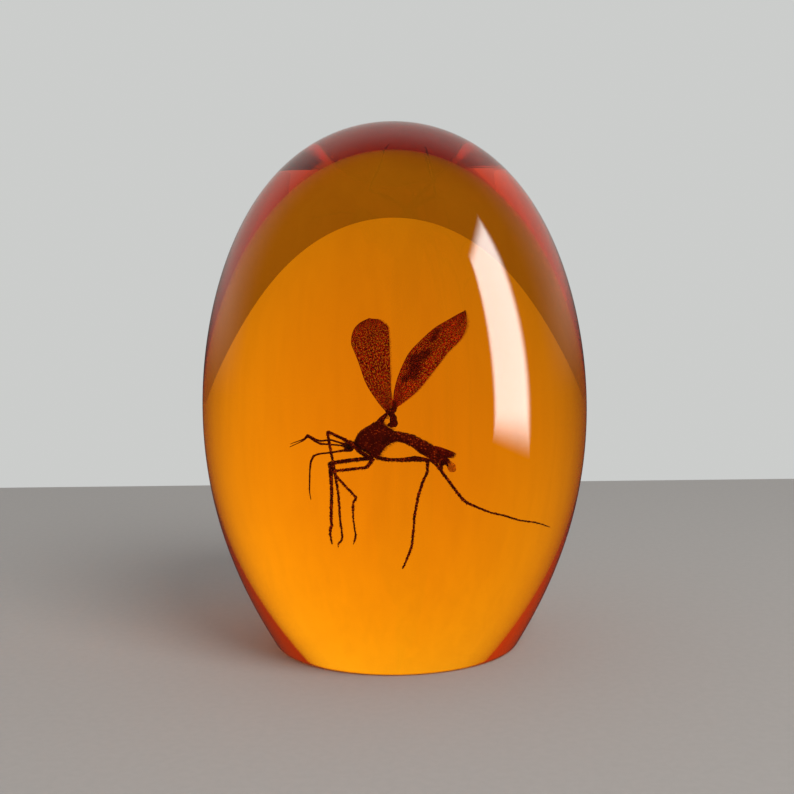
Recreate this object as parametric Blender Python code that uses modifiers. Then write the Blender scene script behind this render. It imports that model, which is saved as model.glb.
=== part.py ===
"""An elephant mosquito cast in a clear, amber-coloured resin egg.

Metres, +Z up. The origin is the middle of the egg's flat foot. The mosquito lies side on to -Y, its
head towards -X. The resin is parted on the plane Y = 0 so that the mosquito fits into its pocket.
Sizes and points below are in millimetres, in the same frame.
"""

import math

import bmesh
import bpy
from mathutils import Matrix, Vector

MM = 0.001

# The egg: an ellipse whose radius swells and narrows with height, cut off flat at the foot
EGG_HEIGHT = 76.0
EGG_RADIUS = 27.6
EGG_CENTRE_LEVEL = 27.8
EGG_SWELL = (0.187, -0.193, 0.203)
FOOT_ROUNDING = 1.0
EGG_STEPS = 60
EGG_ROWS = 22
FOOT_ROWS = 3

# The parting plane and the pocket
PARTING_GAP = 0.3
POCKET_CLEARANCE = 0.3

# Trunk: centre and half sizes of each rounded mass
HEAD = ((-4.25, 0.0, 30.6), (0.5, 0.62, 0.72))
THORAX = ((-2.1, 0.0, 31.6), (1.65, 1.3, 1.9))
HIP_MASS = ((-2.05, 0.0, 29.8), (0.75, 0.75, 0.95))
TAIL_LOBE = ((5.45, 0.0, 27.9), (0.42, 0.18, 0.5))
BALL_SEGMENTS = 12
BALL_RINGS = 8

# Round limbs: points along the middle, each with its radius
NECK = ((-4.1, 0.0, 30.8, 0.3), (-3.0, 0.0, 31.2, 0.4))
ABDOMEN = (
    (-1.2, 0.0, 31.8, 0.7),
    (-0.3, 0.0, 31.75, 0.68),
    (1.0, 0.0, 31.35, 0.66),
    (1.9, 0.0, 30.9, 0.7),
    (2.9, 0.0, 30.2, 0.76),
    (3.8, 0.0, 29.65, 0.78),
    (4.5, 0.0, 29.2, 0.62),
    (4.8, 0.0, 29.0, 0.3),
)
TAIL_TUFTS = (
    ((3.9, 0.0, 29.9, 0.42), (5.0, 0.0, 29.6, 0.26), (5.85, 0.0, 29.35, 0.07)),
    ((4.2, -0.15, 29.0, 0.42), (4.45, -0.2, 28.3, 0.24), (4.55, -0.2, 27.8, 0.08)),
    ((4.5, 0.15, 29.0, 0.4), (4.9, 0.1, 28.4, 0.28), (5.2, 0.05, 28.0, 0.12)),
)
PROBOSCIS = (
    (-4.4, 0.0, 30.15, 0.17),
    (-5.2, 0.0, 30.0, 0.16),
    (-6.2, -0.1, 29.8, 0.14),
    (-7.4, -0.2, 29.65, 0.13),
    (-7.9, -0.2, 29.4, 0.12),
    (-8.2, -0.3, 28.7, 0.11),
    (-8.3, -0.3, 27.5, 0.09),
    (-8.35, -0.3, 25.1, 0.07),
    (-8.2, -0.3, 23.95, 0.05),
)
FEELERS = (
    (
        (-4.4, -0.3, 30.7, 0.13),
        (-6.25, -0.7, 31.4, 0.12),
        (-7.3, -0.8, 31.25, 0.12),
        (-7.85, -0.8, 31.5, 0.12),
        (-8.55, -0.9, 32.0, 0.12),
        (-8.9, -0.9, 31.5, 0.08),
        (-10.4, -1.0, 30.85, 0.06),
    ),
    (
        (-4.4, 0.3, 30.5, 0.13),
        (-6.35, 0.6, 30.75, 0.13),
        (-7.15, 0.7, 30.8, 0.13),
        (-7.7, 0.8, 31.15, 0.12),
        (-8.35, 0.8, 31.7, 0.12),
        (-8.75, 0.9, 31.2, 0.08),
        (-10.25, 1.0, 30.3, 0.06),
    ),
)
WING_STALK = ((-1.5, 0.0, 32.9, 0.26), (-0.95, 0.0, 34.15, 0.22), (-0.1, 0.0, 35.05, 0.26))

# Legs: hip, knee and ankle, then the joints of the foot
LEGS = (
    (
        (-2.3, -0.4, 29.2, 0.2),
        (-3.05, -0.7, 29.65, 0.19),
        (-3.85, -1.0, 30.45, 0.17),
        (-4.75, -1.4, 31.35, 0.17),
        (-6.7, -2.2, 32.55, 0.15),
        (-6.45, -2.6, 30.45, 0.12),
        (-6.05, -3.0, 27.75, 0.12),
        (-5.7, -3.4, 24.5, 0.11),
        (-5.6, -3.8, 21.5, 0.1),
        (-5.4, -3.9, 19.75, 0.09),
        (-5.5, -3.9, 19.2, 0.08),
        (-5.85, -3.9, 18.75, 0.08),
        (-5.85, -3.9, 18.35, 0.06),
    ),
    (
        (-2.3, 0.4, 29.1, 0.2),
        (-4.15, 1.4, 28.8, 0.19),
        (-6.15, 2.4, 28.4, 0.15),
        (-6.1, 2.7, 26.65, 0.12),
        (-5.95, 2.9, 25.1, 0.12),
        (-6.0, 3.4, 21.75, 0.11),
        (-5.9, 3.5, 20.65, 0.1),
        (-6.05, 3.6, 20.3, 0.08),
        (-6.05, 3.7, 19.5, 0.08),
        (-5.85, 3.8, 18.35, 0.06),
    ),
    (
        (-2.1, -0.4, 29.2, 0.2),
        (-2.8, -1.4, 28.05, 0.16),
        (-4.35, -2.6, 27.95, 0.16),
        (-6.15, -3.8, 27.8, 0.14),
        (-6.0, -3.9, 27.2, 0.12),
        (-3.95, -4.4, 24.55, 0.11),
        (-4.3, -4.5, 23.95, 0.1),
        (-4.35, -4.5, 23.2, 0.09),
        (-4.3, -4.7, 21.6, 0.08),
        (-4.1, -4.8, 19.9, 0.08),
        (-4.15, -4.8, 19.45, 0.07),
        (-4.4, -4.8, 18.7, 0.05),
    ),
    (
        (-2.1, 0.4, 29.2, 0.2),
        (-4.1, 2.6, 28.65, 0.18),
        (-5.9, 4.4, 28.15, 0.14),
        (-5.8, 5.0, 25.0, 0.12),
        (-5.8, 5.5, 21.65, 0.1),
        (-5.75, 5.6, 20.5, 0.08),
        (-5.85, 5.7, 19.8, 0.07),
        (-5.75, 5.8, 18.6, 0.05),
    ),
    (
        (-1.9, -0.4, 29.3, 0.2),
        (-0.9, -1.0, 28.95, 0.18),
        (0.65, -1.8, 29.0, 0.19),
        (2.0, -2.5, 29.25, 0.2),
        (3.8, -3.2, 28.95, 0.16),
        (6.6, -4.0, 24.35, 0.13),
        (7.2, -4.2, 23.7, 0.11),
        (9.75, -4.6, 22.35, 0.1),
        (11.2, -4.8, 21.95, 0.1),
        (13.05, -5.0, 21.15, 0.09),
        (15.05, -5.2, 20.7, 0.08),
        (17.45, -5.4, 19.65, 0.05),
    ),
    (
        (-1.9, 0.4, 29.2, 0.2),
        (-0.9, 0.9, 28.9, 0.18),
        (0.65, 1.5, 28.65, 0.18),
        (1.9, 2.1, 28.7, 0.18),
        (3.05, 2.6, 28.5, 0.14),
        (2.95, 2.8, 27.0, 0.12),
        (2.55, 3.0, 26.0, 0.12),
        (2.1, 3.2, 24.3, 0.12),
        (1.7, 3.6, 21.8, 0.12),
        (1.6, 3.8, 20.3, 0.1),
        (1.4, 4.1, 18.0, 0.1),
        (0.9, 4.3, 16.4, 0.1),
        (0.5, 4.4, 15.2, 0.1),
    ),
)

# Wings: root, tip direction as a tilt from upright towards +X and a lean towards +Y, and a twist about
# the span, in degrees. The outlines are smooth curves through points (along the span, across it).
WING_ROOT = (-0.1, 0.0, 35.0)
WING_THICKNESS = 0.12
WING_SMOOTHNESS = 3
BROAD_WING_TURN = (-11.6, -30.0, 0.0)
BROAD_WING = (
    (-0.4, 0.0),
    (1.1, -0.75),
    (4.2, -1.5),
    (7.8, -1.9),
    (10.9, -2.35),
    (12.4, -1.9),
    (13.3, -0.9),
    (13.4, 0.4),
    (12.2, 1.6),
    (9.2, 1.25),
    (5.6, 0.75),
    (2.0, 0.15),
)
NARROW_WING_TURN = (30.9, 10.0, 35.0)
NARROW_WING = (
    (-0.4, 0.0),
    (2.0, -1.15),
    (5.4, -2.4),
    (6.9, -2.5),
    (9.4, -1.8),
    (12.7, -0.6),
    (13.7, -0.05),
    (12.7, 0.6),
    (9.7, 1.4),
    (7.0, 1.4),
    (4.2, 1.4),
    (2.1, 0.8),
)
WING_LOBE_TURN = (0.0, 0.0, 0.0)
WING_LOBE = ((0.1, -0.3), (-0.6, 0.25), (-1.9, 0.25), (-2.2, -0.35), (-1.4, -0.5))

RESIN_COLOUR = (0.9, 0.28, 0.01, 1.0)
MOSQUITO_COLOUR = (0.045, 0.012, 0.006, 1.0)
RESIN_IOR = 1.52


def remove_all_objects():
    for item in list(bpy.data.objects):
        bpy.data.objects.remove(item)


def new_collection(name):
    collection = bpy.data.collections.new(name)
    bpy.context.scene.collection.children.link(collection)
    return collection


def resin_material():
    material = bpy.data.materials.new("amber resin")
    material.use_nodes = True
    shader = material.node_tree.nodes["Principled BSDF"]
    shader.inputs["Base Color"].default_value = RESIN_COLOUR
    shader.inputs["Roughness"].default_value = 0.02
    shader.inputs["Metallic"].default_value = 0.0
    shader.inputs["IOR"].default_value = RESIN_IOR
    shader.inputs["Transmission Weight"].default_value = 1.0
    return material


def mosquito_material():
    material = bpy.data.materials.new("mosquito")
    material.use_nodes = True
    shader = material.node_tree.nodes["Principled BSDF"]
    shader.inputs["Base Color"].default_value = MOSQUITO_COLOUR
    shader.inputs["Roughness"].default_value = 0.55
    shader.inputs["Metallic"].default_value = 0.0
    return material


def move_to(item, collection):
    for old in list(item.users_collection):
        old.objects.unlink(item)
    collection.objects.link(item)


def mesh_from(item):
    """Turn a curve or a modified object into a plain mesh object with welded caps, in place."""
    depsgraph = bpy.context.evaluated_depsgraph_get()
    mesh = bpy.data.meshes.new_from_object(item.evaluated_get(depsgraph))
    work = bmesh.new()
    work.from_mesh(mesh)
    bmesh.ops.remove_doubles(work, verts=work.verts, dist=0.001 * MM)
    work.to_mesh(mesh)
    work.free()
    solid = bpy.data.objects.new(item.name + " mesh", mesh)
    solid.matrix_world = item.matrix_world.copy()
    bpy.context.scene.collection.objects.link(solid)
    bpy.data.objects.remove(item)
    return solid


def ball(centre, half_sizes, growth):
    """A rounded mass, larger all round by the growth."""
    bpy.ops.mesh.primitive_uv_sphere_add(segments=BALL_SEGMENTS, ring_count=BALL_RINGS, radius=1.0)
    item = bpy.context.active_object
    grown = [(size + growth) * MM for size in half_sizes]
    item.data.transform(Matrix.Diagonal((*grown, 1.0)))
    item.location = Vector(centre) * MM
    return item


def lengthened(points, growth):
    """The same points with both ends pushed outwards by the growth."""
    places = [Vector(point[:3]) for point in points]
    places[0] -= (places[1] - places[0]).normalized() * growth
    places[-1] += (places[-1] - places[-2]).normalized() * growth
    return places


def limb(points, growth, sides):
    """A round tapering tube along points that each hold a place and a radius."""
    curve = bpy.data.curves.new("limb", "CURVE")
    curve.dimensions = "3D"
    curve.bevel_depth = MM
    curve.bevel_resolution = (sides - 4) // 2
    curve.use_fill_caps = True
    spline = curve.splines.new("POLY")
    spline.points.add(len(points) - 1)
    for knot, place, point in zip(spline.points, lengthened(points, growth), points):
        knot.co = (*(place * MM), 1.0)
        knot.radius = point[3] + growth
    item = bpy.data.objects.new("limb", curve)
    bpy.context.scene.collection.objects.link(item)
    return mesh_from(item)


def wing_matrix(turn):
    """Span along local X and chord along local Y, turned upright and then by the tilt, lean and twist."""
    tilt, lean, twist = (math.radians(angle) for angle in turn)
    span = Vector((math.sin(tilt) * math.cos(lean), math.sin(lean), math.cos(tilt) * math.cos(lean)))
    flat_chord = Vector((math.cos(tilt), 0.0, -math.sin(tilt)))
    out = span.cross(flat_chord)
    chord = flat_chord * math.cos(twist) + out * math.sin(twist)
    axes = Matrix((span, chord, span.cross(chord))).transposed().to_4x4()
    return Matrix.Translation(Vector(WING_ROOT) * MM) @ axes


def plate(outline, turn, growth):
    """A thin flat wing with a smooth outline, grown both outwards and in thickness."""
    curve = bpy.data.curves.new("plate", "CURVE")
    curve.dimensions = "2D"
    curve.fill_mode = "BOTH"
    curve.extrude = WING_THICKNESS / 2 * MM
    curve.bevel_depth = growth * MM
    curve.bevel_resolution = 0
    curve.resolution_u = WING_SMOOTHNESS
    spline = curve.splines.new("BEZIER")
    spline.bezier_points.add(len(outline) - 1)
    spline.use_cyclic_u = True
    for knot, (along, across) in zip(spline.bezier_points, outline):
        knot.co = (along * MM, across * MM, 0.0)
        knot.handle_left_type = "AUTO"
        knot.handle_right_type = "AUTO"
    item = bpy.data.objects.new("plate", curve)
    bpy.context.scene.collection.objects.link(item)
    item.matrix_world = wing_matrix(turn)
    bpy.context.view_layer.update()
    return mesh_from(item)


def mosquito_pieces(growth):
    """Every mass, limb and wing of the mosquito, larger all round by the growth."""
    masses = [ball(*mass, growth) for mass in (THORAX, HIP_MASS, HEAD, TAIL_LOBE)]
    thick = [limb(points, growth, sides=8) for points in (ABDOMEN, NECK, *TAIL_TUFTS)]
    thin = [limb(points, growth, sides=6) for points in (WING_STALK, PROBOSCIS, *FEELERS, *LEGS)]
    wings = [
        plate(BROAD_WING, BROAD_WING_TURN, growth),
        plate(NARROW_WING, NARROW_WING_TURN, growth),
        plate(WING_LOBE, WING_LOBE_TURN, growth),
    ]
    return masses + thick + thin + wings


def fused(pieces, name):
    """One closed solid made of overlapping pieces, which are used up."""
    base = pieces[0]
    for piece in pieces[1:]:
        union = base.modifiers.new("union", "BOOLEAN")
        union.operation = "UNION"
        union.solver = "EXACT"
        union.object = piece
    bpy.context.view_layer.update()
    solid = mesh_from(base)
    for piece in pieces[1:]:
        bpy.data.objects.remove(piece)
    solid.name = name
    return solid


def egg_point(angle):
    """Radius and level of the egg's side at an angle from its widest ellipse, in radians."""
    height = math.sin(angle)
    first, second, third = EGG_SWELL
    swell = 1.0 + first * height + second * height**2 + third * height**3
    radius = EGG_RADIUS * math.cos(angle) * swell
    level = EGG_CENTRE_LEVEL + (EGG_HEIGHT - EGG_CENTRE_LEVEL) * height
    return radius, level


def egg_profile():
    """The half outline from the top to the middle of the foot, with the foot's edge rounded."""
    foot_angle = math.asin(-EGG_CENTRE_LEVEL / (EGG_HEIGHT - EGG_CENTRE_LEVEL))
    foot_radius, foot_level = egg_point(foot_angle)
    near_radius, near_level = egg_point(foot_angle + 0.01)
    slope = math.atan2(near_level - foot_level, near_radius - foot_radius)
    inset = FOOT_ROUNDING / math.tan((math.pi - slope) / 2)
    arc_top = FOOT_ROUNDING * (1.0 - math.cos(slope))
    profile = [(0.0, EGG_HEIGHT)]
    for row in range(1, EGG_ROWS):
        angle = math.pi / 2 + (foot_angle - math.pi / 2) * row / EGG_ROWS
        radius, level = egg_point(angle)
        if level > arc_top:
            profile.append((radius, level))
    for row in range(FOOT_ROWS + 1):
        angle = slope * (1.0 - row / FOOT_ROWS) - math.pi / 2
        radius = foot_radius - inset + FOOT_ROUNDING * math.cos(angle)
        profile.append((radius, FOOT_ROUNDING * (1.0 + math.sin(angle))))
    profile.append((0.0, 0.0))
    return profile


def profile_mesh():
    places = [(radius * MM, 0.0, level * MM) for radius, level in egg_profile()]
    edges = [(index, index + 1) for index in range(len(places) - 1)]
    mesh = bpy.data.meshes.new("egg profile")
    mesh.from_pydata(places, edges, [])
    return mesh


def half_space_cutter(side, cutters):
    """A box over everything on one side of the parting plane, reaching across half of the gap."""
    width = 3 * EGG_RADIUS
    bpy.ops.mesh.primitive_cube_add(size=1.0)
    box = bpy.context.active_object
    box.name = "cutter for the " + ("back" if side < 0 else "front")
    box.data.transform(Matrix.Diagonal((width * MM, width * MM, 2 * EGG_HEIGHT * MM, 1.0)))
    box.location = (0.0, side * (width / 2 - PARTING_GAP / 2) * MM, EGG_HEIGHT / 2 * MM)
    move_to(box, cutters)
    return box


def cut(item, cutter, name):
    boolean = item.modifiers.new(name, "BOOLEAN")
    boolean.operation = "DIFFERENCE"
    boolean.solver = "EXACT"
    boolean.object = cutter


def egg_half(name, side, mesh, pocket, collection, cutters, material):
    """The half of the egg on one side of the parting plane: -1 is the front and 1 the back."""
    half = bpy.data.objects.new(name, mesh)
    collection.objects.link(half)
    screw = half.modifiers.new("turn", "SCREW")
    screw.steps = EGG_STEPS
    screw.render_steps = EGG_STEPS
    screw.use_merge_vertices = True
    screw.merge_threshold = 0.001 * MM
    screw.use_smooth_shade = True
    cut(half, half_space_cutter(-side, cutters), "part")
    cut(half, pocket, "pocket")
    if not mesh.materials:
        mesh.materials.append(material)
    return half


def hide_cutter(cutter):
    cutter.hide_render = True
    cutter.display_type = "WIRE"


def main():
    remove_all_objects()
    parts = new_collection("mosquito in a resin egg")
    cutters = new_collection("cutters")
    mosquito = fused(mosquito_pieces(0.0), "mosquito")
    mosquito.data.materials.clear()
    mosquito.data.materials.append(mosquito_material())
    mosquito.data.shade_smooth()
    mosquito.data.set_sharp_from_angle(angle=math.radians(50))
    move_to(mosquito, parts)
    pocket = fused(mosquito_pieces(POCKET_CLEARANCE), "pocket")
    move_to(pocket, cutters)
    mesh = profile_mesh()
    material = resin_material()
    egg_half("resin_front", -1, mesh, pocket, parts, cutters, material)
    egg_half("resin_back", 1, mesh, pocket, parts, cutters, material)
    for cutter in cutters.objects:
        hide_cutter(cutter)


main()
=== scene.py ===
"""Looks of a mosquito cast in a clear, amber-coloured resin egg.

Metres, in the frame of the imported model: +Z up, the egg's flat foot at Z = 0, the mosquito side on
to -Y with its head towards -X. Points and small sizes below are in millimetres, times MM.
"""

import math

import bmesh
import bpy
from mathutils import Matrix, Vector, noise


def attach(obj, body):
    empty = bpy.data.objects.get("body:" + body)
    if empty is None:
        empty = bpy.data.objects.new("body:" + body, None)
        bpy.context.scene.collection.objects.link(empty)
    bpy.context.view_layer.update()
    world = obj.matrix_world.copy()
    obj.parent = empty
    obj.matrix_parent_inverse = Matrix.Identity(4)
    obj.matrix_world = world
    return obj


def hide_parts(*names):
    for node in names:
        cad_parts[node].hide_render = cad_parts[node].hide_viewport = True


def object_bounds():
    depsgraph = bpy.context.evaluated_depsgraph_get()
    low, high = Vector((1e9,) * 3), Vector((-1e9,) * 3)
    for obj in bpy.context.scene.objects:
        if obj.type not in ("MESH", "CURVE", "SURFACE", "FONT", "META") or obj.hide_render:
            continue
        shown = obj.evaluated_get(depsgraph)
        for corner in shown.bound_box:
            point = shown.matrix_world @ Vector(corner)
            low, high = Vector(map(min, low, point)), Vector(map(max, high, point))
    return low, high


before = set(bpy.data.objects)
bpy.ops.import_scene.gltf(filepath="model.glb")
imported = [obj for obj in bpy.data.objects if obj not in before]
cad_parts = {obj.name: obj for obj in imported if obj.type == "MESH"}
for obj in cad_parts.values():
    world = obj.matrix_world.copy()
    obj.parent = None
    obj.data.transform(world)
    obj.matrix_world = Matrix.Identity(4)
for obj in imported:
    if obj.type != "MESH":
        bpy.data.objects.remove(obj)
CAD_LOW, CAD_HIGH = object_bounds()

bl_info = {
    "name": "Mosquito in a resin egg",
    "version": (1, 0, 0),
    "blender": (4, 5, 0),
    "location": "View3D > Sidebar > Resin egg",
    "description": "Builds a clear resin egg with a mosquito cast in it",
    "category": "Object",
}

MM = 0.001

# The egg: an ellipse whose radius swells and narrows with height, cut off flat at the foot, the
# rows of its profile and of its rounded foot, and how strongly the resin bends light
EGG_CENTRE_SHARE = 27.8 / 76.0
EGG_SWELL = (0.187, -0.193, 0.203)
EGG_ROWS = 110
FOOT_ROWS = 8
RESIN_IOR = 1.52

# Trunk sections from front to back: X, level of the back and of the belly, and half width
THORAX = (
    (-4.0, 30.95, 30.55, 0.26), (-3.84, 31.4, 30.4, 0.6), (-3.62, 32.0, 30.3, 0.86),
    (-3.3, 32.45, 30.15, 1.05), (-2.85, 32.8, 29.8, 1.2), (-2.4, 33.15, 29.4, 1.28),
    (-2.0, 33.42, 29.15, 1.3), (-1.55, 33.5, 29.35, 1.24), (-1.2, 33.35, 30.0, 1.1),
    (-0.85, 33.0, 30.5, 0.9), (-0.5, 32.65, 30.8, 0.72), (-0.1, 32.4, 31.05, 0.6),
)
ABDOMEN = (
    (-0.4, 32.4, 31.05, 0.55), (0.3, 32.3, 31.05, 0.6), (1.0, 32.1, 30.8, 0.64),
    (1.7, 31.9, 30.35, 0.68), (2.35, 31.45, 29.65, 0.72), (3.0, 31.05, 29.18, 0.7),
    (3.6, 30.55, 28.72, 0.66), (4.1, 30.15, 28.55, 0.54), (4.5, 29.75, 28.55, 0.36),
    (4.8, 29.4, 28.95, 0.16),
)
ABDOMEN_RINGS = 8
TAIL_MASSES = (
    ((4.2, 0.0, 28.95), (0.5, 0.4, 0.5)),
    ((4.5, -0.1, 28.5), (0.36, 0.28, 0.46)),
    ((4.75, 0.05, 28.85), (0.28, 0.22, 0.3)),
)

# Head: centre and half sizes of the skull, and of one eye, which is mirrored
HEAD = ((-4.42, 0.0, 30.58), (0.5, 0.6, 0.7))
EYE = ((-4.5, 0.4, 30.66), (0.36, 0.3, 0.5))

# Round limbs: points along the middle, each with its radius
NECK = ((-4.1, 0.0, 30.7, 0.3), (-3.8, 0.0, 30.85, 0.32), (-3.4, 0.0, 31.0, 0.4))
SNOUT = ((-4.45, 0.0, 30.4, 0.4), (-4.7, 0.0, 30.15, 0.3), (-4.95, 0.0, 30.05, 0.18))
HIPS = (
    (
        (-3.95, -0.3, 30.45, 0.14), (-3.6, -0.42, 29.98, 0.15), (-3.15, -0.45, 29.6, 0.17),
        (-2.4, -0.42, 29.1, 0.22),
    ),
    (
        (-3.8, 0.3, 30.45, 0.14), (-3.45, 0.42, 29.98, 0.15), (-3.05, 0.45, 29.6, 0.17),
        (-2.4, 0.42, 29.05, 0.22),
    ),
    ((-2.0, -0.5, 30.2, 0.5), (-2.0, -0.5, 29.5, 0.36), (-2.1, -0.48, 29.05, 0.24)),
    ((-2.0, 0.5, 30.2, 0.5), (-2.0, 0.5, 29.5, 0.36), (-2.1, 0.48, 29.05, 0.24)),
    ((-1.7, -0.4, 30.4, 0.45), (-1.75, -0.42, 29.7, 0.34), (-1.85, -0.42, 29.2, 0.24)),
    ((-1.7, 0.4, 30.4, 0.45), (-1.75, 0.42, 29.7, 0.34), (-1.85, 0.42, 29.1, 0.24)),
)
PROBOSCIS = (
    (-4.5, 0.0, 30.1, 0.2), (-5.2, 0.0, 30.0, 0.14), (-6.2, -0.1, 29.8, 0.13),
    (-7.4, -0.2, 29.65, 0.12), (-7.9, -0.2, 29.4, 0.12), (-8.2, -0.3, 28.7, 0.1),
    (-8.3, -0.3, 27.5, 0.085), (-8.35, -0.3, 25.1, 0.065), (-8.2, -0.3, 23.95, 0.035),
)
FEELERS = (
    (
        (-4.5, -0.3, 30.7, 0.16), (-5.3, -0.5, 31.0, 0.12), (-6.25, -0.7, 31.4, 0.11),
        (-7.3, -0.8, 31.25, 0.12), (-7.85, -0.8, 31.5, 0.12), (-8.55, -0.9, 32.0, 0.12),
        (-8.9, -0.9, 31.5, 0.07), (-10.4, -1.0, 30.85, 0.035),
    ),
    (
        (-4.5, 0.3, 30.5, 0.16), (-5.4, 0.45, 30.65, 0.12), (-6.35, 0.6, 30.75, 0.11),
        (-7.15, 0.7, 30.8, 0.12), (-7.7, 0.8, 31.15, 0.12), (-8.35, 0.8, 31.7, 0.12),
        (-8.75, 0.9, 31.2, 0.07), (-10.25, 1.0, 30.3, 0.035),
    ),
)
WING_STALKS = (
    (
        (-1.75, -0.15, 33.1, 0.34), (-1.35, -0.1, 33.9, 0.2), (-0.75, -0.12, 34.5, 0.17),
        (-0.25, -0.1, 35.0, 0.2),
    ),
    (
        (-1.45, 0.2, 33.1, 0.3), (-1.05, 0.15, 34.0, 0.17), (-0.5, 0.1, 34.75, 0.16),
        (0.0, 0.05, 35.3, 0.16),
    ),
)
BALANCERS = (
    (
        (-0.9, -0.85, 32.3, 0.09), (-0.7, -1.1, 32.1, 0.05), (-0.5, -1.35, 31.9, 0.05),
        (-0.35, -1.5, 31.8, 0.16),
    ),
    (
        (-0.9, 0.85, 32.3, 0.09), (-0.7, 1.1, 32.1, 0.05), (-0.5, 1.35, 31.9, 0.05),
        (-0.35, 1.5, 31.8, 0.16),
    ),
)

# Legs: hip, knee and ankle, then the joints of the foot
LEGS = (
    (
        (-2.35, -0.42, 29.1, 0.2), (-3.05, -0.7, 29.65, 0.17), (-3.85, -1.0, 30.45, 0.16),
        (-4.75, -1.4, 31.35, 0.16), (-6.7, -2.2, 32.55, 0.14), (-6.45, -2.6, 30.45, 0.11),
        (-6.05, -3.0, 27.75, 0.11), (-5.7, -3.4, 24.5, 0.1), (-5.6, -3.8, 21.5, 0.09),
        (-5.4, -3.9, 19.75, 0.08), (-5.5, -3.9, 19.2, 0.08), (-5.85, -3.9, 18.75, 0.07),
        (-5.85, -3.9, 18.35, 0.04),
    ),
    (
        (-2.35, 0.42, 29.05, 0.2), (-4.15, 1.4, 28.8, 0.18), (-6.15, 2.4, 28.4, 0.15),
        (-6.1, 2.7, 26.65, 0.11), (-5.95, 2.9, 25.1, 0.11), (-6.0, 3.4, 21.75, 0.1),
        (-5.9, 3.5, 20.65, 0.09), (-6.05, 3.6, 20.3, 0.08), (-6.05, 3.7, 19.5, 0.07),
        (-5.85, 3.8, 18.35, 0.04),
    ),
    (
        (-2.1, -0.48, 29.1, 0.2), (-2.8, -1.4, 28.05, 0.15), (-4.35, -2.6, 27.95, 0.15),
        (-6.15, -3.8, 27.8, 0.14), (-6.0, -3.9, 27.2, 0.12), (-3.95, -4.4, 24.55, 0.1),
        (-4.3, -4.5, 23.95, 0.1), (-4.35, -4.5, 23.2, 0.08), (-4.3, -4.7, 21.6, 0.07),
        (-4.1, -4.8, 19.9, 0.07), (-4.15, -4.8, 19.45, 0.06), (-4.4, -4.8, 18.7, 0.035),
    ),
    (
        (-2.1, 0.48, 29.1, 0.2), (-4.1, 2.6, 28.65, 0.17), (-5.9, 4.4, 28.15, 0.14),
        (-5.8, 5.0, 25.0, 0.11), (-5.8, 5.5, 21.65, 0.09), (-5.75, 5.6, 20.5, 0.08),
        (-5.85, 5.7, 19.8, 0.06), (-5.75, 5.8, 18.6, 0.035),
    ),
    (
        (-1.85, -0.42, 29.25, 0.2), (-0.9, -1.0, 28.95, 0.17), (0.65, -1.8, 29.0, 0.18),
        (2.0, -2.5, 29.25, 0.2), (3.8, -3.2, 28.95, 0.15), (6.6, -4.0, 24.35, 0.12),
        (7.2, -4.2, 23.7, 0.13), (9.75, -4.6, 22.35, 0.09), (11.2, -4.8, 21.95, 0.1),
        (13.05, -5.0, 21.15, 0.08), (15.05, -5.2, 20.7, 0.07), (17.45, -5.4, 19.65, 0.035),
    ),
    (
        (-1.85, 0.42, 29.15, 0.2), (-0.9, 0.9, 28.9, 0.17), (0.65, 1.5, 28.65, 0.18),
        (1.9, 2.1, 28.7, 0.17), (3.05, 2.6, 28.5, 0.13), (2.95, 2.8, 27.0, 0.11),
        (2.55, 3.0, 26.0, 0.11), (2.1, 3.2, 24.3, 0.11), (1.7, 3.6, 21.8, 0.1), (1.6, 3.8, 20.3, 0.09),
        (1.4, 4.1, 18.0, 0.09), (0.9, 4.3, 16.4, 0.08), (0.5, 4.4, 15.2, 0.05),
    ),
)

# Length and width of a wing, which keep the pattern on it even
WING_SPAN = 13.5
WING_CHORD = 4.2

# Wings: root, tip direction as a tilt from upright towards +X and a lean towards +Y, and a twist about
# the span, in degrees. Each edge is a smooth line of points (along the span, across it), root to tip.
WING_ROOT = (-0.1, 0.0, 35.0)
BROAD_WING_TURN = (-11.6, -30.0, 0.0)
BROAD_WING_FRONT = (
    (-0.35, -0.7), (0.8, -1.12), (2.0, -1.45), (4.5, -2.0), (7.4, -2.15), (9.4, -2.35), (10.8, -2.45),
    (12.4, -1.95), (13.2, -1.3), (13.6, -0.6), (13.7, -0.05),
)
BROAD_WING_BACK = (
    (-0.3, 0.1), (0.8, 0.1), (3.0, 0.25), (5.0, 0.6), (7.6, 1.0), (9.7, 1.35), (11.5, 1.58),
    (12.35, 1.4), (13.05, 1.02), (13.53, 0.5), (13.7, -0.05),
)
NARROW_WING_TURN = (30.9, 10.0, 35.0)
NARROW_WING_FRONT = (
    (-0.3, -0.15), (0.7, -0.6), (1.9, -1.35), (3.6, -2.05), (5.4, -2.5), (6.8, -2.65), (8.6, -2.35),
    (10.4, -1.9), (11.8, -1.2), (13.0, -0.6), (13.75, -0.15),
)
NARROW_WING_BACK = (
    (-0.3, 0.1), (0.7, 0.3), (2.0, 0.75), (3.4, 1.1), (5.0, 1.2), (7.0, 1.25), (8.6, 1.25), (10.2, 1.5),
    (11.4, 1.35), (12.6, 0.85), (13.75, -0.15),
)

# Crumpled lobe and hinge where the wings meet: centre and half sizes of each mass
WING_LOBE = (
    ((-0.14, 0.0, 33.65), (0.36, 0.2, 0.86)),
    ((-0.3, 0.05, 33.08), (0.46, 0.18, 0.3)),
    ((-0.02, 0.0, 33.3), (0.3, 0.2, 0.5)),
    ((-0.3, 0.0, 34.3), (0.3, 0.2, 0.36)),
    ((-0.5, 0.0, 34.75), (0.42, 0.22, 0.32)),
    ((-0.05, -0.05, 35.3), (0.26, 0.2, 0.75)),
)

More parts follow.
